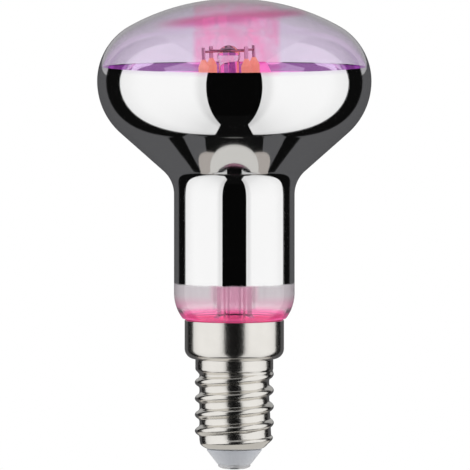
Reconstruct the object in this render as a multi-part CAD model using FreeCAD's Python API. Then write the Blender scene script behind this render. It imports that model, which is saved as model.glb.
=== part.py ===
import FreeCAD, Part
import math
import os

# Grow lamp with a mirrored reflector bulb, four light filaments and a small screw cap.
# Millimetres. +Z runs from the centre contact up to the dome, and the origin is the contact's tip.

# Centre contact and insulator
contact_height = 0.9
contact_r = 2.8
contact_flat_r = 1.3
contact_side = 0.35
contact_hole_r = 0.5
shank_r = 0.9
shank_length = 3.0
solder_recess = 0.15
insulator_height = 2.6
insulator_nose_r = 3.0
insulator_cheek_r = 4.77
insulator_flange = 2.8
insulator_gap = 0.05

# Cap shell, rolled from thin sheet
shell_wall = 0.25
mouth_r = 3.7
edge_round = 1.8
thread_pitch = 2.822
thread_crest_r = 6.85
thread_depth = 0.80
thread_crest_flat = 0.55
thread_root_flat = 0.75
thread_lead = 1.71
thread_height = 14.2
thread_bury = 0.2
seam_turn = 37.0
run_out_lift = 1.35
run_out_length = 0.8
collar_chamfer = 0.35
collar_r = 6.76
collar_height = 1.45
shoulder_round = 1.78
skirt_r = 8.61
skirt_height = 4.97

# Glass bulb, outside
bulb_r = 23.77
equator_height = 41.45
dome_height = 14.24
crown_r = 37.2
belly_r = 12.0
flank_angle = 48.45
fillet_r = 5.48
neck_r = 10.455
foot_height = 4.73
foot_r = 7.43
foot_lift = 0.2
seal_r = 7.6
seal_depth = 4.3
seal_lip = 0.7
glass_wall = 0.9

# Mirror coating on the inside of the glass
coating = 0.12
mirror_edge_angle = 14.24

# Cement between the glass and the skirt
cement_gap = 0.04
cement_depth = 4.6

# Glass stem: flare, pressed pinch, post and button
flare_wall = 0.7
tube_r = 3.0
flare_gap = 0.1
pinch_height = 14.5
pinch_length = 5.0
pinch_r = 3.3
pinch_thick = 2.8
post_r = 1.75
button_r = 2.0
button_above_equator = 4.45
exhaust_r = 1.2
exhaust_wall = 0.4
exhaust_drop = 4.2

# Light filaments, on a circle round the post
filament_r = 0.95
filament_length = 26.0
filament_tip_r = 0.35
filament_taper = 1.3
filament_circle_r = 5.3
filament_above_equator = 4.05
tab_length = 2.2
tab_thick = 0.25
tab_width = 0.7
mount_turn = -10.0
mount_lean = -1.85

# Wires
wire_r = 0.2
wire_touch = 0.02
lead_x = 1.75
lead_rise = 1.0
lead_fold = 0.6
wire_from_tab_end = 0.8
anchor_turn = 64.0

# Driver board and its parts, inside the cap
board_width = 9.2
board_height = 8.8
board_thick = 0.8
board_lift = 1.3
rectifier_size = (3.9, 1.6, 4.7)
rectifier_x = -2.2
chip_size = (3.9, 1.5, 4.9)
chip_x = 2.4
part_lift = 0.7
capacitor_r = 2.4
capacitor_length = 7.4
fuse_r = 0.8
fuse_length = 4.0
fuse_x = -3.4
pad_length = 1.5
neutral_x = -3.7

# Heights along the axis
shell_z = contact_height + insulator_height
collar_z = shell_z + thread_height
shoulder_z = collar_z + collar_height
skirt_z = shoulder_z + shoulder_round
rim_z = skirt_z + skirt_height
foot_z = rim_z + foot_height
equator_z = rim_z + equator_height
top_z = equator_z + dome_height
seat_z = rim_z + foot_lift
seal_z = rim_z - seal_depth
lip_z = seal_z + glass_wall
pinch_z = lip_z + pinch_height
pinch_top_z = pinch_z + pinch_length
button_z = equator_z + button_above_equator
filament_top_z = equator_z + filament_above_equator
filament_bottom_z = filament_top_z - filament_length
flange_z = shell_z + insulator_flange
board_z = flange_z + board_lift
board_top_z = board_z + board_height
root_r = thread_crest_r - thread_depth

axis_up = FreeCAD.Vector(0, 0, 1)
centre = FreeCAD.Vector(0, 0, 0)


def point(r, z):
    return FreeCAD.Vector(r, 0, z)


def line(a, b):
    return Part.makeLine(a, b)


def polyline(*places):
    """Straight lines through places given as (r, z)."""
    points = [point(r, z) for r, z in places]
    return [line(a, b) for a, b in zip(points, points[1:])]


def arc(middle_r, middle_z, radius, start_deg, end_deg):
    """An arc in the XZ plane, with angles from +X towards +Z."""
    def at(deg):
        turn = math.radians(deg)
        return point(middle_r + radius * math.cos(turn), middle_z + radius * math.sin(turn))

    return Part.Arc(at(start_deg), at((start_deg + end_deg) / 2), at(end_deg)).toShape()


def first_point(edge):
    return edge.valueAt(edge.FirstParameter)


def last_point(edge):
    return edge.valueAt(edge.LastParameter)


def flipped(edges):
    """The same edges, drawn from their other end."""
    result = []
    for edge in reversed(edges):
        start, end = last_point(edge), first_point(edge)
        if edge.Curve.TypeId == "Part::GeomLine":
            result.append(line(start, end))
        else:
            middle = edge.valueAt((edge.FirstParameter + edge.LastParameter) / 2)
            result.append(Part.Arc(start, middle, end).toShape())
    return result


def outline(edges):
    """A closed wire: the edges in order, with a straight line wherever two of them don't meet."""
    closed = []
    for edge, following in zip(edges, edges[1:] + edges[:1]):
        closed.append(edge)
        end, start = last_point(edge), first_point(following)
        if end.distanceToPoint(start) > 1e-6:
            closed.append(line(end, start))
    return Part.Wire(closed)


def turned(edges):
    """The solid that an outline beside the axis sweeps round it."""
    return Part.Face(outline(edges)).revolve(centre, axis_up, 360)


def wire_along(points):
    """A round wire folded sharply at each inner point."""
    path = Part.makePolygon(points)
    ring = Part.Wire(Part.makeCircle(wire_r, points[0], points[1] - points[0]))
    return path.makePipeShell([ring], True, False, 1)


def set_in_mount(shape):
    """Turns a piece with the whole mount about the lamp's axis."""
    return shape.rotated(centre, axis_up, mount_turn)


def leaned(shape):
    """Tilts what stands on the pinch, because the post was sealed in slightly off upright."""
    return shape.rotated(point(0, pinch_top_z), FreeCAD.Vector(0, 1, 0), mount_lean)


# Glass bulb and its coating
def head_line(depth, top_angle=None):
    """The bulb's wall line from the dome's top, or from an angle on the shoulder, down to the foot.

    It lies at a depth below the outer surface, and the flank between its last two arcs is straight.
    """
    crown_z = top_z - crown_r
    rise = equator_z - crown_z
    shoulder_r = (crown_r**2 - bulb_r**2 - rise**2) / (2 * (crown_r - bulb_r))
    shoulder_deg = math.degrees(math.atan2(rise, bulb_r - shoulder_r))
    belly_middle_r = bulb_r - belly_r
    flank_turn = math.radians(flank_angle)
    flank_top_r = belly_middle_r + belly_r * math.cos(flank_turn)
    flank_foot_r = neck_r + fillet_r - fillet_r * math.cos(flank_turn)
    flank_drop = (flank_top_r - flank_foot_r) / math.tan(flank_turn)
    fillet_middle_z = equator_z - (belly_r + fillet_r) * math.sin(flank_turn) - flank_drop
    if top_angle is None:
        line_top = [arc(0, crown_z, crown_r - depth, 90, shoulder_deg)]
        top_angle = shoulder_deg
    else:
        line_top = []
    return line_top + [
        arc(bulb_r - shoulder_r, equator_z, shoulder_r - depth, top_angle, 0),
        arc(belly_middle_r, equator_z, belly_r - depth, 0, -flank_angle),
        arc(neck_r + fillet_r, fillet_middle_z, fillet_r + depth, 180 - flank_angle, 180),
    ] + polyline((neck_r - depth, fillet_middle_z), (neck_r - depth, foot_z))


def make_glass_bulb():
    """Blown in one piece: the foot turns in over the cap's rim, down to the seal with the stem."""
    reach = foot_r - glass_wall
    foot_turn = math.asin((foot_z - glass_wall - seat_z) / reach)
    foot_deg = math.degrees(foot_turn)
    foot_middle_r = neck_r - foot_r
    edge_middle_r = foot_middle_r + reach * math.cos(foot_turn)
    seal_inner_r = seal_r - glass_wall
    lip_r = seal_inner_r - seal_lip
    outer = head_line(0) + [
        arc(foot_middle_r, foot_z, foot_r, 0, -foot_deg),
        arc(edge_middle_r, seat_z + glass_wall, glass_wall, -foot_deg, -90),
    ]
    inner = head_line(glass_wall) + [
        arc(foot_middle_r, foot_z, reach, 0, -foot_deg),
    ]
    seal = polyline(
        (seal_r, seat_z),
        (seal_r, seal_z),
        (lip_r, seal_z),
        (lip_r, lip_z),
        (seal_inner_r, lip_z),
        (seal_inner_r, seat_z + glass_wall),
    )
    return turned(outer + seal + flipped(inner))


def make_mirror_coating():
    outer = head_line(glass_wall, mirror_edge_angle)
    inner = head_line(glass_wall + coating, mirror_edge_angle)
    return turned(outer + flipped(inner))


# Glass stem
def make_flare():
    """A tube that opens to a cone, whose rim was melted to the bulb's lip."""
    rim_r = seal_r - glass_wall - flare_gap
    bore_r = tube_r - flare_wall
    wall_rise = flare_wall * math.tan(math.radians(22.5))
    cone_top_z = lip_z + rim_r - tube_r + flare_wall
    return turned(polyline(
        (rim_r, lip_z),
        (rim_r, lip_z + flare_wall),
        (tube_r, cone_top_z),
        (tube_r, pinch_z),
        (bore_r, pinch_z),
        (bore_r, cone_top_z - wall_rise),
        (rim_r - flare_wall, lip_z + flare_wall - wall_rise),
        (rim_r - flare_wall, lip_z),
    ))


def make_pinch():
    """The tube's end, pressed flat on the wires while it was soft."""
    shoulder = pinch_r - post_r
    barrel = turned(polyline(
        (0, pinch_z),
        (pinch_r, pinch_z),
        (pinch_r, pinch_top_z - shoulder),
        (post_r, pinch_top_z),
        (0, pinch_top_z),
    ))
    corner = FreeCAD.Vector(-pinch_r, -pinch_thick / 2, pinch_z)
    slab = Part.makeBox(2 * pinch_r, pinch_thick, pinch_length, corner)
    return set_in_mount(barrel.common(slab))


def make_glass_stem(wires):
    """Flare, pinch, post and button, melted into one piece round the wires."""
    post = Part.makeCylinder(post_r, button_z - pinch_z - post_r, point(0, pinch_z + post_r))
    button = Part.makeSphere(button_r, point(0, button_z))
    floor = Part.makeCylinder(tube_r, flare_wall, point(0, pinch_z))
    upright = make_flare().fuse([floor, make_pinch()])
    return upright.fuse(leaned(post.fuse(button))).cut(wires)


def make_exhaust_tube():
    bore_r = exhaust_r - exhaust_wall
    tip_z = lip_z - exhaust_drop
    outer = [arc(0, tip_z, exhaust_r, 270, 360), line(point(exhaust_r, tip_z), point(exhaust_r, pinch_z))]
    inner = [line(point(bore_r, pinch_z), point(bore_r, tip_z)), arc(0, tip_z, bore_r, 360, 270)]
    return turned(outer + inner)


# Light filaments and the wires that hold them
def filament_places():
    """The places of the four filaments, as directions from the post."""
    return [math.radians(45 + 90 * quarter) for quarter in range(4)]


def make_filament(direction):
    body = turned(polyline(
        (0, filament_bottom_z),
        (filament_tip_r, filament_bottom_z),
        (filament_r, filament_bottom_z + filament_taper),
        (filament_r, filament_top_z - filament_taper),
        (filament_tip_r, filament_top_z),
        (0, filament_top_z),
    ))
    return placed_on_circle(body, direction)


def placed_on_circle(shape, direction):
    shape.translate(point(filament_circle_r, 0))
    shape.rotate(centre, axis_up, math.degrees(direction))
    return leaned(set_in_mount(shape))


def make_end_tabs():
    """A flat metal tab at each end of each filament."""
    tabs = []
    for direction in filament_places():
        for low_z in (filament_bottom_z - tab_length, filament_top_z):
            corner = FreeCAD.Vector(-tab_thick / 2, -tab_width / 2, low_z)
            tabs.append(placed_on_circle(Part.makeBox(tab_thick, tab_width, tab_length, corner), direction))
    return Part.makeCompound(tabs)


def tab_seat(meeting_deg):
    """How far along X, and along Y, a wire's end lies that meets the inner face of a tab.

    The angle is that between the wire and the tab's face normal, which runs along the diagonal.
    """
    overhang = wire_r * math.sin(math.radians(meeting_deg))
    return (filament_circle_r - tab_thick / 2 - overhang - wire_touch) / math.sqrt(2)


def make_anchor_wire(side):
    """The bowed wire through the button that joins the tops of the two filaments of one side."""
    reach = tab_seat(anchor_turn - 45)
    bow = reach * math.tan(math.radians(anchor_turn / 2))
    height = filament_top_z + tab_length - wire_from_tab_end
    ends = [FreeCAD.Vector(across * reach, side * reach, height) for across in (-1, 1)]
    middle = FreeCAD.Vector(0, side * (reach - bow), height)
    path = Part.Arc(ends[0], middle, ends[1]).toShape()
    ring = Part.Wire(Part.makeCircle(wire_r, ends[0], path.tangentAt(path.FirstParameter)))
    return leaned(set_in_mount(Part.Wire(path).makePipeShell([ring], True, False)))


def cross_wire_z():
    return filament_bottom_z - tab_length + wire_from_tab_end


def make_cross_wire(side):
    """The straight wire that joins the lower ends of two filaments to one lead."""
    reach = tab_seat(45)
    start = FreeCAD.Vector(side * reach, -reach, cross_wire_z())
    wire = Part.makeCylinder(wire_r, 2 * reach, start, FreeCAD.Vector(0, 1, 0))
    return leaned(set_in_mount(wire))


def make_lead_wire(side):
    """The lead from the board's pad, up through the pinch, to the middle of its cross wire."""
    pad_y = -(board_thick / 2 + wire_r + wire_touch)
    fold_z = board_top_z + lead_fold
    bend = point(side * lead_x, pinch_top_z + lead_rise)
    cross_middle = point(side * tab_seat(45), cross_wire_z())
    way = (cross_middle - bend).normalize()
    lower = [
        FreeCAD.Vector(side * lead_x, pad_y, board_top_z - pad_length),
        FreeCAD.Vector(side * lead_x, pad_y, fold_z),
        FreeCAD.Vector(side * lead_x, 0, fold_z + abs(pad_y)),
    ]
    upper = [bend, cross_middle - way * (wire_r + wire_touch)]
    lower = [set_in_mount(Part.Vertex(place)).Point for place in lower]
    upper = [leaned(set_in_mount(Part.Vertex(place))).Point for place in upper]
    return wire_along(lower + upper)


# Cap shell
def shell_profile(inset):
    """The shell's turned outline, closed to the axis, at a depth below its outer surface."""
    shift = inset * math.tan(math.radians(22.5))
    edge_middle_r = root_r - edge_round
    skirt_middle_r = skirt_r - shoulder_round
    half = (collar_r - root_r) / 2
    chamfer_z = collar_z - half + shift
    return [
        line(point(0, shell_z + inset), point(edge_middle_r, shell_z + inset)),
        arc(edge_middle_r, shell_z + edge_round, edge_round - inset, 270, 360),
    ] + polyline(
        (root_r - inset, chamfer_z),
        (collar_r - inset, chamfer_z + 2 * half),
        (collar_r - inset, shoulder_z + inset),
    ) + [
        arc(skirt_middle_r, skirt_z, shoulder_round - inset, 270, 360),
    ] + polyline((skirt_r - inset, rim_z), (0, rim_z))


def thread_limit(inset):
    """The outline that the thread keeps to, so that it runs out at the rounded edge and into the collar."""
    low_z = shell_z + run_out_lift + inset
    clear_r = thread_crest_r - inset + thread_bury
    return polyline(
        (0, low_z),
        (root_r - inset - thread_bury / 2, low_z),
        (clear_r, low_z + run_out_length),
        (clear_r, collar_z - collar_chamfer),
        (collar_r - inset, collar_z + collar_chamfer),
        (0, collar_z + collar_chamfer),
    )


def thread_ridge(inset):
    """One raised turn of the rolled thread, swept along its helix."""
    flank = (thread_pitch - thread_crest_flat - thread_root_flat) / 2
    slope = flank / thread_depth
    lean_in = math.hypot(1, slope) - slope
    top_half = thread_crest_flat / 2 - inset * lean_in
    base_half = top_half + (thread_depth + thread_bury) * slope
    top_r = thread_crest_r - inset
    base_r = root_r - inset - thread_bury
    start_z = shell_z + thread_lead - thread_pitch
    corners = [(base_r, -base_half), (top_r, -top_half), (top_r, top_half), (base_r, base_half)]
    edges = polyline(*[(r, start_z + z) for r, z in corners])
    helix = Part.makeHelix(thread_pitch, collar_z + thread_pitch / 2 - start_z, thread_crest_r)
    helix.translate(point(0, start_z))
    return Part.Wire(helix).makePipeShell([outline(edges)], True, True)


def shell_form(inset):
    """The shell as a solid, with its thread, at a depth below its outer surface.

    The turned forms have their seam away from the thread's start, so that the two never coincide.
    """
    limit = turned(thread_limit(inset)).rotate(centre, axis_up, seam_turn)
    body = turned(shell_profile(inset)).rotate(centre, axis_up, seam_turn)
    return body.fuse(thread_ridge(inset).common(limit))


def make_cap_shell():
    """Thin sheet with the thread rolled through it, so the inside follows the outside."""
    mouth = Part.makeCylinder(mouth_r, rim_z)
    return shell_form(0).cut(shell_form(shell_wall)).cut(mouth)


# Cement, insulator and contact
def make_cap_cement():
    return turned(polyline(
        (seal_r + cement_gap, rim_z - cement_depth),
        (skirt_r - shell_wall - cement_gap, rim_z - cement_depth),
        (skirt_r - shell_wall - cement_gap, rim_z),
        (seal_r + cement_gap, rim_z),
    ))


def make_insulator():
    hole_r = shank_r + insulator_gap
    seat_r = root_r - edge_round
    bowl_r = edge_round - shell_wall - insulator_gap
    inside_z = shell_z + edge_round - bowl_r
    return turned(polyline(
        (hole_r, contact_height),
        (insulator_nose_r, contact_height),
        (insulator_cheek_r, shell_z),
        (mouth_r - insulator_gap, shell_z),
        (mouth_r - insulator_gap, inside_z),
        (seat_r, inside_z),
    ) + [
        arc(seat_r, shell_z + edge_round, bowl_r, 270, 360),
    ] + polyline((seat_r + bowl_r, flange_z), (hole_r, flange_z)))


def make_centre_contact():
    """A turned rivet: its head is the contact, its hollow shank goes through the insulator."""
    side_z = contact_height - contact_side
    bulge = Part.Arc(
        point(contact_flat_r, 0),
        point((contact_flat_r + contact_r) / 2 + side_z / 4, side_z / 3),
        point(contact_r, side_z),
    ).toShape()
    return turned([bulge] + polyline(
        (contact_r, side_z),
        (contact_r, contact_height),
        (shank_r, contact_height),
        (shank_r, contact_height + shank_length),
        (contact_hole_r, contact_height + shank_length),
        (contact_hole_r, 0),
        (contact_flat_r, 0),
    ))


def make_contact_solder():
    return Part.makeCylinder(contact_hole_r, contact_height, point(0, solder_recess))


# Driver board and its parts
def make_driver_board():
    corner = FreeCAD.Vector(-board_width / 2, -board_thick / 2, board_z)
    return set_in_mount(Part.makeBox(board_width, board_thick, board_height, corner))


def make_board_block(size, middle_x):
    """A part with a flat back, soldered on the front of the board."""
    width, depth, height = size
    corner = FreeCAD.Vector(middle_x - width / 2, -board_thick / 2 - depth, board_z + part_lift)
    return set_in_mount(Part.makeBox(width, depth, height, corner))


def make_capacitor():
    place = FreeCAD.Vector(0, board_thick / 2 + capacitor_r, board_z + part_lift)
    return set_in_mount(Part.makeCylinder(capacitor_r, capacitor_length, place))


def fuse_place():
    return FreeCAD.Vector(fuse_x, board_thick / 2 + fuse_r, board_z + part_lift)


def make_fuse_resistor():
    return set_in_mount(Part.makeCylinder(fuse_r, fuse_length, fuse_place()))


def make_live_wire():
    """The wire from the centre contact's solder to the fuse resistor."""
    place = fuse_place()
    turn_z = flange_z + board_lift / 2
    return set_in_mount(wire_along([
        point(0, contact_height + solder_recess),
        point(0, turn_z),
        FreeCAD.Vector(place.x, place.y, turn_z),
        place,
    ]))


def make_neutral_wire():
    """The wire from the board to the inside of the shell's collar."""
    pad_y = -(board_thick / 2 + wire_r + wire_touch)
    height = (collar_z + shoulder_z) / 2
    reach = math.sqrt((collar_r - shell_wall)**2 - (abs(pad_y) + wire_r)**2) - wire_touch
    return set_in_mount(wire_along([
        FreeCAD.Vector(neutral_x, pad_y, board_top_z - pad_length),
        FreeCAD.Vector(neutral_x, pad_y, height),
        FreeCAD.Vector(-reach, pad_y, height),
    ]))


lead_left, lead_right = make_lead_wire(-1), make_lead_wire(1)
anchor_front, anchor_back = make_anchor_wire(-1), make_anchor_wire(1)
parts = {
    "glass_bulb": make_glass_bulb(),
    "mirror_coating": make_mirror_coating(),
    "glass_stem": make_glass_stem([lead_left, lead_right, anchor_front, anchor_back]),
    "exhaust_tube": make_exhaust_tube(),
    "end_tabs": make_end_tabs(),
    "anchor_wire_front": anchor_front,
    "anchor_wire_back": anchor_back,
    "cross_wire_left": make_cross_wire(-1),
    "cross_wire_right": make_cross_wire(1),
    "lead_wire_left": lead_left,
    "lead_wire_right": lead_right,
    "cap_shell": make_cap_shell(),
    "cap_cement": make_cap_cement(),
    "insulator": make_insulator(),
    "centre_contact": make_centre_contact(),
    "contact_solder": make_contact_solder(),
    "driver_board": make_driver_board(),
    "rectifier": make_board_block(rectifier_size, rectifier_x),
    "driver_chip": make_board_block(chip_size, chip_x),
    "capacitor": make_capacitor(),
    "fuse_resistor": make_fuse_resistor(),
    "live_wire": make_live_wire(),
    "neutral_wire": make_neutral_wire(),
}
for number, direction in enumerate(filament_places(), start=1):
    parts[f"filament_{number}"] = make_filament(direction)

os.makedirs("parts", exist_ok=True)
for name, shape in parts.items():
    shape.exportStep(f"parts/{name}.step")
    print(name, shape.isValid(), len(shape.Solids), round(shape.Volume, 2))
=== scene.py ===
import math
import bpy
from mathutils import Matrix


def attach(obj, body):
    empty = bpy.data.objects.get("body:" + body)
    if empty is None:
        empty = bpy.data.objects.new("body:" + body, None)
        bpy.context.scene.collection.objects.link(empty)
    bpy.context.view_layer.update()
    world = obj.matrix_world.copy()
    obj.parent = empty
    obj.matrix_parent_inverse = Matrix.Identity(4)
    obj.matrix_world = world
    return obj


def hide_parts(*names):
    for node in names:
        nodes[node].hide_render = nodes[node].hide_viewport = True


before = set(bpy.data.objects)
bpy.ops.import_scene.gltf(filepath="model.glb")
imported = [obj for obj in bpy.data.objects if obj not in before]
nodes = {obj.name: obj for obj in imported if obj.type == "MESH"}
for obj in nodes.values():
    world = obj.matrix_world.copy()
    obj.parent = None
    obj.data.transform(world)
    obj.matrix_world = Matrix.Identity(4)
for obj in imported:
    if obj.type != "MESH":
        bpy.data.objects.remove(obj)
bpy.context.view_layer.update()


# Centre contact: a turned rivet of nickel-plated brass, whose domed head is the lamp's lower contact.
# Its hollow shank goes up through the insulator, and dull solder fills the hole in the head.

class Value:
    """A shader socket that Python's operators work on."""

    def __init__(self, tree, socket):
        self.tree = tree
        self.socket = socket

    def node(self, kind, settings=None, **inputs):
        """Adds a node, sets it up, and fills its sockets with numbers or links."""
        made = self.tree.nodes.new(kind)
        for name, setting in (settings or {}).items():
            if name == "stops":
                ramp = made.color_ramp
                while len(ramp.elements) < len(setting):
                    ramp.elements.new(0.5)
                for element, (place, colour) in zip(ramp.elements, setting):
                    element.position = place
                    element.color = colour
            else:
                setattr(made, name, setting)
        for name, given in inputs.items():
            name = name.replace("_", " ")
            socket = made.inputs[int(name[1:])] if name[1:].isdigit() else made.inputs[name]
            if isinstance(given, Value):
                self.tree.links.new(given.socket, socket)
            else:
                socket.default_value = given
        return made

    def out(self, made, name=0):
        return Value(self.tree, made.outputs[name])

    def maths(self, operation, other=0.0, third=0.0):
        return self.out(self.node("ShaderNodeMath", {"operation": operation}, i0=self, i1=other, i2=third))

    def __add__(self, other):
        return self.maths("ADD", other)

    __radd__ = __add__

    def __mul__(self, other):
        return self.maths("MULTIPLY", other)

    __rmul__ = __mul__

    def __sub__(self, other):
        return self.maths("SUBTRACT", other)

    def __rsub__(self, other):
        return self.maths("MULTIPLY_ADD", -1.0, other)

    def __truediv__(self, other):
        return self.maths("DIVIDE", other)

    def step(self, low, high):
        """0 below one number, 1 above the other, and a smooth rise between them."""
        settings = {"interpolation_type": "SMOOTHSTEP", "clamp": True}
        return self.out(self.node("ShaderNodeMapRange", settings, Value=self, From_Min=low, From_Max=high))

    def between(self, low, high):
        """Runs from one number to another as this value runs from 0 to 1."""
        return self * (high - low) + low

    def noise(self, scale, detail=2.0, roughness=0.5):
        """Noise at this place, from 0 to 1."""
        made = self.node("ShaderNodeTexNoise", Vector=self, Scale=scale, Detail=detail, Roughness=roughness)
        return self.out(made, "Fac")

    def part(self, axis):
        """This place's distance along X, Y or Z."""
        return self.out(self.node("ShaderNodeSeparateXYZ", Vector=self), axis)

    def up(self):
        return self.part("Z")

    def scaled(self, x, y, z):
        """This place, drawn out along the axes."""
        return self.out(self.node("ShaderNodeVectorMath", {"operation": "MULTIPLY"}, i0=self, i1=(x, y, z)))

    def mixed(self, first, second):
        """A colour between two others, by this factor."""
        made = self.node("ShaderNodeMix", {"data_type": "RGBA"}, i0=self, i6=first, i7=second)
        return self.out(made, 2)


def colour(red, green, blue):
    """A colour as it is seen on a screen, from 0 to 255, as the shader's numbers."""
    shares = [part / 255 for part in (red, green, blue)]
    return tuple(s / 12.92 if s <= 0.04045 else ((s + 0.055) / 1.055) ** 2.4 for s in shares) + (1.0,)


def finish_of(name, **sockets):
    """Starts a material: its surface, and the place on the piece that patterns are read from."""
    material = bpy.data.materials.new(name)
    material.use_nodes = True
    tree = material.node_tree
    surface = tree.nodes["Principled BSDF"]
    for socket, given in sockets.items():
        surface.inputs[socket.replace("_", " ")].default_value = given
    place = Value(tree, tree.nodes.new("ShaderNodeTexCoord").outputs["Object"])
    return material, surface, place


def feed(surface, socket, value):
    value.tree.links.new(value.socket, surface.inputs[socket])


def bumped(surface, height, strength, distance):
    """Puts fine relief on a surface."""
    made = height.node("ShaderNodeBump", Height=height, Strength=strength, Distance=distance)
    feed(surface, "Normal", height.out(made, "Normal"))


def dress(piece, material):
    piece.data.materials.clear()
    piece.data.materials.append(material)


def arc(middle_r, middle_z, radius, start_deg, end_deg, steps):
    """Places (r, z) along an arc in the profile plane, with angles from outwards towards up."""
    turns = [math.radians(start_deg + (end_deg - start_deg) * n / steps) for n in range(steps + 1)]
    return [(middle_r + radius * math.cos(t), middle_z + radius * math.sin(t)) for t in turns]


def turned(name, places, steps):
    """Draws a profile of (r, z) places in millimetres, point by point, and spins it round the axis."""
    bpy.ops.object.select_all(action="DESELECT")
    bpy.ops.mesh.primitive_plane_add(size=0.001, location=(0, 0, 0))
    piece = bpy.context.object
    piece.name = name
    bpy.ops.object.mode_set(mode="EDIT")
    bpy.ops.mesh.select_all(action="SELECT")
    bpy.ops.mesh.merge(type="CENTER")
    last_r, last_z = places[0]
    bpy.ops.transform.translate(value=(last_r / 1000, 0, last_z / 1000))
    for r, z in places[1:]:
        if math.hypot(r - last_r, z - last_z) > 1e-5:
            step = ((r - last_r) / 1000, 0, (z - last_z) / 1000)
            bpy.ops.mesh.extrude_region_move(TRANSFORM_OT_translate={"value": step})
            last_r, last_z = r, z
    bpy.ops.mesh.select_all(action="SELECT")
    bpy.ops.mesh.spin(steps=steps, angle=2 * math.pi, center=(0, 0, 0), axis=(0, 0, 1))
    bpy.ops.mesh.select_all(action="SELECT")
    bpy.ops.mesh.remove_doubles(threshold=1e-6)
    bpy.ops.mesh.normals_make_consistent(inside=False)
    bpy.ops.object.mode_set(mode="OBJECT")
    bpy.ops.object.shade_smooth_by_angle(angle=math.radians(35))
    return piece


contact_r = 2.8
contact_flat_r = 1.3
contact_height = 0.9
contact_edge_z = 0.55
rivet_hole_r = 0.5
shank_r = 0.9
shank_top_z = 3.9
contact_profile = [
    (rivet_hole_r, shank_top_z), (rivet_hole_r, 0.05), (rivet_hole_r + 0.06, 0.0), (contact_flat_r, 0.0),
    (1.75, 0.045), (2.15, 0.13), (2.5, 0.27), (2.72, 0.42), (contact_r, contact_edge_z),
    (contact_r, contact_height), (shank_r, contact_height), (shank_r, shank_top_z), (rivet_hole_r, shank_top_z),
]
contact = turned("contact_rivet", contact_profile, 96)
contact_metal, surface, place = finish_of("contact_metal", Metallic=0.3)
stain = place.noise(900, 4.0, 0.6).step(0.35, 0.75)
# The contact's lowest face is darker in a strip through its middle, near the axis.
dark_middle_strip = (1 - place.part("X").maths("ABSOLUTE").step(0.0004, 0.0011)) * (1 - place.up().step(0.0002, 0.0005))
contact_tone = stain.mixed(colour(236, 237, 241), colour(214, 215, 218))
feed(surface, "Base Color", dark_middle_strip.mixed(contact_tone, colour(96, 100, 106)))
feed(surface, "Roughness", place.noise(2200, 3.0).between(0.42, 0.6))
bumped(surface, place.scaled(1, 1, 6).noise(1500, 3.0), 0.08, 0.0002)
dress(contact, contact_metal)
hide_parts("centre_contact")
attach(contact, "root")

solder, surface, place = finish_of("dull_solder", Metallic=1.0)
feed(surface, "Base Color", place.noise(3000, 3.0).mixed(colour(70, 70, 74), colour(110, 110, 112)))
feed(surface, "Roughness", place.noise(5000, 2.0).between(0.45, 0.7))
bumped(surface, place.noise(4000, 3.0), 0.3, 0.0001)
dress(nodes["contact_solder"], solder)


# Insulator: pale blue-grey moulded plastic, a cone between the contact and the shell's open lower edge.
# It is held by the shell's turned-in edge, and it carries the rivet.

nose_r = 3.0
cheek_r = 4.77
shell_z = 3.5
edge_round = 1.8
root_r = 6.05
mouth_r = 3.7
shell_wall = 0.25
flange_z = 6.3
insulator_profile = [(shank_r + 0.05, contact_height), (nose_r - 0.12, contact_height)]
insulator_profile += arc(nose_r - 0.12, contact_height + 0.12, 0.12, -90, -35, 4)
insulator_profile += arc(cheek_r - 0.16, shell_z - 0.16, 0.16, -30, 80, 6)
insulator_profile += [(mouth_r - 0.05, shell_z), (mouth_r - 0.05, shell_z + shell_wall + 0.05)]
insulator_profile += arc(root_r - edge_round, shell_z + edge_round, edge_round - shell_wall - 0.05, -90, 0, 10)
insulator_profile += [(root_r - shell_wall - 0.05, flange_z), (shank_r + 0.05, flange_z)]
insulator_profile += [insulator_profile[0]]
insulator = turned("insulator_cone", insulator_profile, 128)
moulding, surface, place = finish_of("insulator_moulding", Coat_Weight=0.15, Coat_Roughness=0.15)
cloud = place.noise(350, 3.0)
feed(surface, "Base Color", cloud.mixed(colour(232, 237, 247), colour(240, 243, 250)))
feed(surface, "Roughness", place.noise(1800, 3.0).between(0.3, 0.42))
bumped(surface, place.noise(2600, 3.0), 0.06, 0.0002)
dress(insulator, moulding)
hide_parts("insulator")
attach(insulator, "root")


# Cap shell: thin brass sheet, drawn, rolled with its round thread, and nickel plated.
# The skirt is cemented to the glass, and the thread runs out at the lower edge and into the collar.

thread_pitch = 2.822
thread_crest_r = 6.85
thread_lead = 1.71
thread_depth = thread_crest_r - root_r
collar_r = 6.76
collar_z = 17.7
shoulder_z = 19.15
skirt_r = 8.61
shoulder_round = 1.78
skirt_z = 20.93
rim_z = 25.9
ring_step = 0.1
half_step = (collar_r - root_r) / 2
threaded = [
    (root_r, shell_z + edge_round + ring_step * n)
    for n in range(1, int((collar_z - half_step - shell_z - edge_round) / ring_step))
]
shell_profile = [(mouth_r, shell_z + shell_wall), (mouth_r, shell_z)]
shell_profile += arc(root_r - edge_round, shell_z + edge_round, edge_round, -90, 0, 18)
shell_profile += threaded
shell_profile += [
    (root_r + 2 * half_step * n / 8, collar_z - half_step + 2 * half_step * n / 8) for n in range(9)
]
shell_profile += arc(collar_r + 0.15, shoulder_z - 0.15, 0.15, 180, 90, 5)
shell_profile += arc(skirt_r - shoulder_round, skirt_z, shoulder_round, -90, 0, 20)
shell_profile += arc(skirt_r - 0.1, rim_z - 0.1, 0.1, 0, 90, 4)
shell_profile += [(skirt_r - shell_wall, rim_z)]
inner_round = shoulder_round - shell_wall
shell_profile += arc(skirt_r - shoulder_round, skirt_z, inner_round, 0, -90, 10)
shell_profile += [(collar_r - shell_wall, shoulder_z + shell_wall), (collar_r - shell_wall, collar_z + 0.5)]
shell_profile += [(root_r - shell_wall, collar_z - 0.25)]
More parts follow.
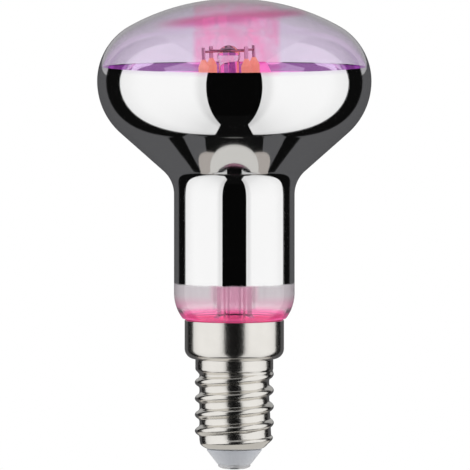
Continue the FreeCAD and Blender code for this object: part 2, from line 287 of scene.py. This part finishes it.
shell_profile += arc(root_r - edge_round, shell_z + edge_round, edge_round - shell_wall, 0, -90, 8)
shell_profile += [shell_profile[0]]
shell = turned("threaded_shell", shell_profile, 192)


def eased(value, low, high):
    share = min(1.0, max(0.0, (value - low) / (high - low)))
    return share * share * (3 - 2 * share)


# The roller presses a wave of round crests and roots into the tube, along a right-handed helix. The crests
# are a little sharper than the roots. At the top the wave runs out into the collar.
wave_r = (thread_pitch**2 / 4 + thread_depth**2) / (4 * thread_depth)
crest_sharpness = 1.6
for vertex in shell.data.vertices:
    x, y, z = (part * 1000 for part in vertex.co)
    r = math.hypot(x, y)
    if r < root_r - 0.01 - (edge_round if z < shell_z + edge_round else 0) or z > collar_z + 0.6:
        continue
    turn = math.atan2(y, x) / (2 * math.pi)
    beside = (z - shell_z - thread_lead - thread_pitch * turn) % thread_pitch
    beside = min(beside, thread_pitch - beside)
    if beside < thread_pitch / 4:
        rise = thread_depth - wave_r + math.sqrt(wave_r**2 - beside**2)
    else:
        rise = wave_r - math.sqrt(wave_r**2 - (thread_pitch / 2 - beside) ** 2)
    rise = thread_depth * (rise / thread_depth) ** crest_sharpness
    rise *= eased(z, shell_z + 0.1, shell_z + 2.5)
    if r < root_r - shell_wall + 0.02 and z > shell_z + edge_round:
        continue
    base = r if z < shell_z + edge_round else root_r
    run_out = eased(z, collar_z - 1.4, collar_z - 0.2)
    new_r = max(r, (base + rise) * (1 - run_out) + collar_r * run_out)
    vertex.co.x *= new_r / r
    vertex.co.y *= new_r / r

plating, surface, place = finish_of("nickel_plating", Metallic=1.0)
haze = place.noise(260, 4.0, 0.6)
grain = place.scaled(1, 1, 0.35).noise(5200, 3.0, 0.6)
feed(surface, "Base Color", haze.mixed(colour(220, 217, 211), colour(235, 232, 227)))
feed(surface, "Roughness", (haze * 0.4 + grain * 0.6).between(0.1, 0.26))
bumped(surface, grain, 0.12, 0.00004)
dress(shell, plating)
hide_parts("cap_shell")
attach(shell, "root")


# Cement: pale bonding powder that is baked between the skirt and the glass. It holds the cap on the bulb,
# and its pink is painted light: the lamp's pink light on it, painted into its colour.

cement, surface, place = finish_of("pink_lit_cement", Roughness=0.85)
feed(surface, "Base Color", place.noise(1500, 3.0).mixed(colour(222, 120, 160), colour(236, 148, 180)))
bumped(surface, place.noise(3500, 3.0), 0.35, 0.0002)
dress(nodes["cap_cement"], cement)


# Driver board and its parts, inside the cap: green board, black moulded parts, a sleeved capacitor and a
# coated fuse resistor, all soldered. Nickel leads go up to the stem and down to the contact.

board, surface, place = finish_of("green_board", Coat_Weight=0.3)
feed(surface, "Base Color", place.noise(900, 3.0).mixed(colour(18, 84, 44), colour(28, 110, 60)))
feed(surface, "Roughness", place.noise(2500, 2.0).between(0.35, 0.5))
dress(nodes["driver_board"], board)

epoxy, surface, place = finish_of("black_moulding")
feed(surface, "Base Color", place.noise(1600, 3.0).mixed(colour(22, 22, 24), colour(38, 38, 40)))
feed(surface, "Roughness", place.noise(3200, 3.0).between(0.45, 0.65))
bumped(surface, place.noise(5200, 2.0), 0.2, 0.0001)
for name in ("rectifier", "driver_chip"):
    dress(nodes[name], epoxy)

sleeve, surface, place = finish_of("capacitor_sleeve", Coat_Weight=0.4)
wrap = place.scaled(1, 1, 0.2).noise(1200, 3.0)
feed(surface, "Base Color", wrap.mixed(colour(24, 27, 44), colour(36, 40, 62)))
feed(surface, "Roughness", place.noise(2200, 2.0).between(0.25, 0.4))
dress(nodes["capacitor"], sleeve)

coat, surface, place = finish_of("resistor_coat")
feed(surface, "Base Color", place.noise(2600, 3.0).mixed(colour(96, 132, 122), colour(120, 152, 142)))
feed(surface, "Roughness", place.noise(4200, 2.0).between(0.5, 0.7))
bumped(surface, place.noise(4800, 2.0), 0.25, 0.0001)
dress(nodes["fuse_resistor"], coat)

# The nickel wires' pink is painted light: the filaments' pink light on them, painted into their colour.
pink_lit_wire, surface, place = finish_of("pink_lit_nickel_wire", Metallic=1.0)
drawn = place.noise(3800, 3.0)
feed(surface, "Base Color", drawn.mixed(colour(206, 110, 150), colour(226, 170, 190)))
feed(surface, "Roughness", drawn.between(0.22, 0.38))
for name in (
    "live_wire", "neutral_wire", "lead_wire_left", "lead_wire_right",
    "cross_wire_left", "cross_wire_right", "anchor_wire_front", "anchor_wire_back",
):
    dress(nodes[name], pink_lit_wire)


# Glass stem: clear lead glass, melted together from a flared tube, a pinch pressed round the leads, and a
# post with a round button, which holds the two bowed wires. The exhaust tube hangs inside the flare.

stem_glass, surface, place = finish_of("stem_glass", Transmission_Weight=1.0, IOR=1.52)
# The glass's faint pink tint is painted light: the filaments' pink light in it.
feed(surface, "Base Color", place.noise(500, 2.0).mixed(colour(255, 236, 246), colour(255, 246, 250)))
feed(surface, "Roughness", place.noise(700, 2.0).between(0.0, 0.05))
bumped(surface, place.scaled(1, 1, 0.25).noise(420, 2.0), 0.15, 0.0006)
for name in ("glass_stem", "exhaust_tube"):
    dress(nodes[name], stem_glass)


# Light filaments: four slim strips of light chips, each in a salmon coat. They glow pink, and paler at the
# upper ends. A nickel tab at each end is welded to the wires.

glow, surface, place = finish_of("filament_coat", Emission_Strength=1.8)
height = place.up()
tip = height.step(0.0635, 0.0672)
mottle = place.scaled(1, 1, 0.5).noise(1400, 3.0)
feed(surface, "Base Color", mottle.mixed(colour(240, 140, 122), colour(250, 178, 148)))
feed(surface, "Roughness", mottle.between(0.35, 0.5))
warm = mottle.mixed((0.30, 0.12, 0.08, 1.0), (0.34, 0.19, 0.11, 1.0))
feed(surface, "Emission Color", tip.mixed((0.40, 0.10, 0.23, 1.0), warm))
for number in range(1, 5):
    dress(nodes[f"filament_{number}"], glow)

# The tabs' pink is painted light: the filaments' pink light on the nickel, painted into their colour.
strip, surface, place = finish_of("nickel_strip", Metallic=1.0)
brushed = place.scaled(1, 1, 0.1).noise(4500, 3.0)
feed(surface, "Base Color", brushed.mixed(colour(236, 170, 204), colour(252, 222, 234)))
feed(surface, "Roughness", brushed.between(0.2, 0.4))
dress(nodes["end_tabs"], strip)


# Glass bulb: clear glass blown in one piece, from the dome to the foot, whose edge turns in over the cap
# and down to the seal with the stem. Behind its belly and neck lies the mirror.

top_z = 81.59
equator_z = 67.35
bulb_r = 23.77
crown_r = 37.2
belly_r = 12.0
flank_deg = 48.45
fillet_r = 5.48
neck_r = 10.455
foot_z = 30.63
foot_r = 7.43
seat_z = 26.1
glass_wall = 0.55
seal_r = 7.6
seal_z = 21.6
seal_lip = 0.7
crown_middle_z = top_z - crown_r
rise = equator_z - crown_middle_z
shoulder_r = (crown_r**2 - bulb_r**2 - rise**2) / (2 * (crown_r - bulb_r))
shoulder_deg = math.degrees(math.atan2(rise, bulb_r - shoulder_r))
flank = math.radians(flank_deg)
flank_top_r = bulb_r - belly_r + belly_r * math.cos(flank)
flank_foot_r = neck_r + fillet_r - fillet_r * math.cos(flank)
fillet_middle_z = equator_z - (belly_r + fillet_r) * math.sin(flank)
fillet_middle_z -= (flank_top_r - flank_foot_r) / math.tan(flank)


def wall_line(depth, top_deg=None):
    """The bulb's wall from the dome's top, or from an angle on the shoulder, down to the foot."""
    line = []
    if top_deg is None:
        top_deg = shoulder_deg
        line += arc(0, crown_middle_z, crown_r - depth, 90, shoulder_deg, 26)
        line[0] = (0.0, line[0][1])
    line += arc(bulb_r - shoulder_r, equator_z, shoulder_r - depth, top_deg, 0, 26)
    line += arc(bulb_r - belly_r, equator_z, belly_r - depth, 0, -flank_deg, 30)
    line += arc(neck_r + fillet_r, fillet_middle_z, fillet_r + depth, 180 - flank_deg, 180, 26)
    steps = 12
    neck_length = fillet_middle_z - foot_z
    line += [(neck_r - depth, fillet_middle_z - neck_length * n / steps) for n in range(steps + 1)]
    return line


foot_reach = foot_r - glass_wall
foot_turn = math.asin((foot_z - glass_wall - seat_z) / foot_reach)
foot_deg = math.degrees(foot_turn)
foot_edge_r = neck_r - foot_r + foot_reach * math.cos(foot_turn)
bulb_profile = wall_line(0)
bulb_profile += arc(neck_r - foot_r, foot_z, foot_r, 0, -foot_deg, 16)
bulb_profile += arc(foot_edge_r, seat_z + glass_wall, glass_wall, -foot_deg, -90, 8)
bulb_profile += [(seal_r, seat_z), (seal_r, seal_z), (seal_r - glass_wall - seal_lip, seal_z)]
bulb_profile += [(seal_r - glass_wall - seal_lip, seal_z + glass_wall)]
bulb_profile += [(seal_r - glass_wall, seal_z + glass_wall), (seal_r - glass_wall, seat_z + glass_wall)]
bulb_profile += arc(neck_r - foot_r, foot_z, foot_reach, -foot_deg, 0, 16)
bulb_profile += wall_line(glass_wall)[::-1]
bulb = turned("blown_bulb", bulb_profile, 224)

# The dome has a faint lilac cast. The filaments' pink light is painted into its middle, and a painted pink
# streak of that light runs as a ribbon near the top. The foot's pink glow above the cap is painted light.
bulb_glass, surface, place = finish_of("bulb_glass", Transmission_Weight=1.0, IOR=1.5)
height = place.up()
clear_glass = place.noise(40, 2.0).mixed(colour(251, 251, 251), colour(254, 254, 254))
dome = height.step(0.0690, 0.0702)
across = place.part("X")
lit = 1 - (across - 0.0004).maths("ABSOLUTE").step(0.0068, 0.0080)
rosy = lit * place.scaled(1.6, 1, 0.5).noise(330, 3.0, 0.6).step(0.1, 0.75)
dome_glass = rosy.mixed(colour(238, 230, 243), colour(250, 200, 228))
ribbon_z = across * 0.095 + 0.0786
ribbon = 1 - (height - ribbon_z).maths("ABSOLUTE").step(0.0, 0.0011)
ribbon = ribbon * (1 - (across - 0.0020).maths("ABSOLUTE").step(0.0090, 0.0170))
dome_glass = ribbon.mixed(dome_glass, colour(236, 142, 196))
foot = 1 - height.step(0.0268, 0.0276)
upper_glass = dome.mixed(clear_glass, dome_glass)
feed(surface, "Base Color", foot.mixed(upper_glass, colour(240, 112, 166)))
feed(surface, "Roughness", place.noise(60, 2.0).step(0.4, 0.7).between(0.0, 0.012))
wavy = place.scaled(1, 1, 0.1).noise(500, 2.0)
foot_glow = wavy.mixed((0.12, 0.030, 0.065, 1.0), (0.17, 0.045, 0.095, 1.0))
# Painted glow: only the wall's inner face shines at the rear of the mirror's rim, so the glow isn't seen from
# outside.
axis_r = (across * across + place.part("Y") * place.part("Y")).maths("POWER", 0.5)
rim = height.step(0.0655, 0.0665) * (1 - height.step(0.0696, 0.0699)) * place.part("Y").step(0.004, 0.008)
rim = rim * (1 - axis_r.step(0.02332, 0.02340))
rim_glow = rim.mixed((0.0, 0.0, 0.0, 1.0), (0.13, 0.03, 0.155, 1.0))
feed(surface, "Emission Color", foot.mixed(rim_glow, foot_glow))
surface.inputs["Emission Strength"].default_value = 1.0
dress(bulb, bulb_glass)
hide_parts("glass_bulb")
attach(bulb, "root")


# Mirror: a bright metal film on the inside of the glass, with a crisp edge on the shoulder and a soft one
# above the foot, where the metal vapour thinned out.

mirror_depth = glass_wall - 0.03
mirror_top_deg = 14.24
mirror_foot_z = 27.2
mirror_profile = wall_line(mirror_depth, mirror_top_deg)[:-1] + [(neck_r - mirror_depth, mirror_foot_z)]
mirror = turned("mirror_film", mirror_profile, 224)

# Below the bright metal the film is a thin grey veil with two darker streaks. The pink light behind it is
# painted into the veil at the foot and up its middle, and the veil's grey and pink glow is painted light.
film, surface, place = finish_of("mirror_film", Metallic=1.0)
height = place.up()
cloud = place.noise(55, 2.0)
streak = place.scaled(1, 1, 0.04).noise(420, 3.0, 0.6)
bright = (height + (streak - 0.5) * 0.0005).step(0.0320, 0.0325)
across = place.part("X").maths("ABSOLUTE")
veil = streak.step(0.25, 0.65).mixed(colour(230, 222, 228), colour(244, 240, 244))
middle_light = (1 - across.step(0.0030, 0.0046)) * streak.between(0.5, 1.1)
flush = (1 - height.step(0.0280, 0.0308)).maths("MAXIMUM", middle_light)
veil = flush.mixed(veil, colour(250, 160, 202))
shade = 1 - (across - 0.0033).maths("ABSOLUTE").step(0.0001, 0.0005)
veil = (shade * 0.6).mixed(veil, colour(120, 84, 104))
feed(surface, "Base Color", bright.mixed(veil, cloud.mixed(colour(243, 243, 243), colour(248, 248, 248))))
feed(surface, "Roughness", bright.between(0.35, 0.02))
feed(surface, "Metallic", bright.between(0.0, 1.0))
feed(surface, "Alpha", height.step(0.0274, 0.0286) * bright.between(0.6, 1.0))
haze_glow = (flush * 0.6).mixed((0.12, 0.11, 0.12, 1.0), (0.30, 0.10, 0.18, 1.0))
feed(surface, "Emission Color", bright.mixed(haze_glow, (0.0, 0.0, 0.0, 1.0)))
surface.inputs["Emission Strength"].default_value = 1.0
dress(mirror, film)
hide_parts("mirror_coating")
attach(mirror, "root")


# The studio: tall white panels left and right of the lamp, with a black gap towards the camera, black cards
# behind them, soft light above and at the rear, and small discs under the lamp that the neck mirrors. The
# camera sees plain white behind the lamp and through its clear glass.

def seen_straight(tree):
    """1 for what the camera sees past the lamp or through clear glass, 0 for what shines or is mirrored."""
    path = tree.nodes.new("ShaderNodeLightPath")
    direct, through, mirrored = (
        Value(tree, path.outputs[name]) for name in ("Is Camera Ray", "Is Transmission Ray", "Glossy Depth")
    )
    return direct.maths("MAXIMUM", through * (1 - mirrored.step(0.4, 0.6)))


def card(name, corners, level, shade=(1.0, 1.0, 1.0, 1.0)):
    """A flat upright or level card of the studio, from its place, size and turn, and its brightness.
    A side panel falls off softly towards its front and rear edges and its foot, and a disc is round."""
    place, size, turn = corners
    bpy.ops.object.select_all(action="DESELECT")
    if name.endswith("disc"):
        bpy.ops.mesh.primitive_circle_add(vertices=96, radius=0.5, fill_type="NGON", location=place)
    else:
        bpy.ops.mesh.primitive_plane_add(size=1, location=place, rotation=turn)
    piece = bpy.context.object
    piece.name = name
    piece.scale = (size[0], size[1], 1)
    material, surface, spot = finish_of(name, Base_Color=(0.0, 0.0, 0.0, 1.0), Emission_Strength=level)
    surface.inputs["Emission Color"].default_value = shade
    surface.inputs["Specular IOR Level"].default_value = 0.0
    if name.startswith("panel"):
        along = spot.part("X")
        falloff = along.step(-0.34, -0.14).between(0.82, 1.0) * (1 - along.step(0.3, 0.5) * 0.1)
        falloff = falloff * spot.part("Y").step(-0.2, 0.3).between(0.76, 1.0)
        feed(surface, "Emission Color", falloff.mixed((0.0, 0.0, 0.0, 1.0), shade))
    tree = material.node_tree
    hidden = tree.nodes.new("ShaderNodeMixShader")
    tree.links.new(seen_straight(tree).socket, hidden.inputs[0])
    tree.links.new(surface.outputs[0], hidden.inputs[1])
    tree.links.new(tree.nodes.new("ShaderNodeBsdfTransparent").outputs[0], hidden.inputs[2])
    tree.links.new(hidden.outputs[0], tree.nodes["Material Output"].inputs["Surface"])
    dress(piece, material)


panel_x = 0.25
panel_low = -1.51
panel_top = 0.5
rear_low = -0.57
upright = (math.pi / 2, 0, math.pi / 2)
facing = (math.pi / 2, 0, 0)
level_turn = (0, 0, 0)
for side, word in ((-1, "left"), (1, "right")):
    place = (side * panel_x, -0.242, (panel_low + panel_top) / 2)
    card(f"panel_{word}", (place, (0.666, panel_top - panel_low), upright), 1.04)
    place = (side * panel_x, 0.176, (rear_low + panel_top) / 2)
    card(f"black_{word}", (place, (0.17, panel_top - rear_low), upright), 0.004)
card("black_front", ((0, -1.3, -1.0), (1.3, 6.0), facing), 0.002)
card("black_floor", ((0, -1.2, -1.6), (3.0, 3.0), level_turn), 0.004)
card("ceiling", ((0, 0, 1.2), (2.0, 2.0), level_turn), 0.35)
card("rear_light", ((0, 1.5, 1.375), (3.0, 2.45), facing), 0.45)
card("black_disc", ((0, 0.004, -0.007), (0.042, 0.042), level_turn), 0.006)
card("pale_disc", ((0, 0.0105, -0.006), (0.044, 0.037), level_turn), 0.62, (1.0, 0.98, 0.94, 1.0))
card("beige_disc", ((0, 0.013, -0.0065), (0.058, 0.038), level_turn), 0.42, (1.0, 0.92, 0.86, 1.0))

world = bpy.data.worlds.new("studio")
bpy.context.scene.world = world
world.use_nodes = True
tree = world.node_tree
background = tree.nodes["Background"]
room = seen_straight(tree).mixed((0.1, 0.1, 0.104, 1.0), (1.0, 1.0, 1.0, 1.0))
tree.links.new(room.socket, background.inputs["Color"])


# Camera: far from the lamp with a long lens, and looking slightly down on it, so that upright lines stay
# upright and the mirror's upper edge shows as a flat ring.

lens_distance = 3.2
look_down = math.radians(3.3)
aim = (0.00012, 0.0, 0.04064)
sensor_width = 36
photo_px = 470
px_per_mm = 5.77
view_width = photo_px / px_per_mm / 1000
camera_data = bpy.data.cameras.new("camera")
camera = bpy.data.objects.new("camera", camera_data)
bpy.context.scene.collection.objects.link(camera)
back = lens_distance * math.cos(look_down)
lift = lens_distance * math.sin(look_down)
camera.location = (aim[0], -back, aim[2] + lift)
camera.rotation_euler = (math.pi / 2 - look_down, 0, 0)
camera_data.sensor_width = sensor_width
camera_data.lens = sensor_width * lens_distance / view_width
camera_data.clip_start = 0.01
camera_data.clip_end = 50
bpy.context.scene.camera = camera

scene = bpy.context.scene
scene.view_settings.view_transform = "Standard"
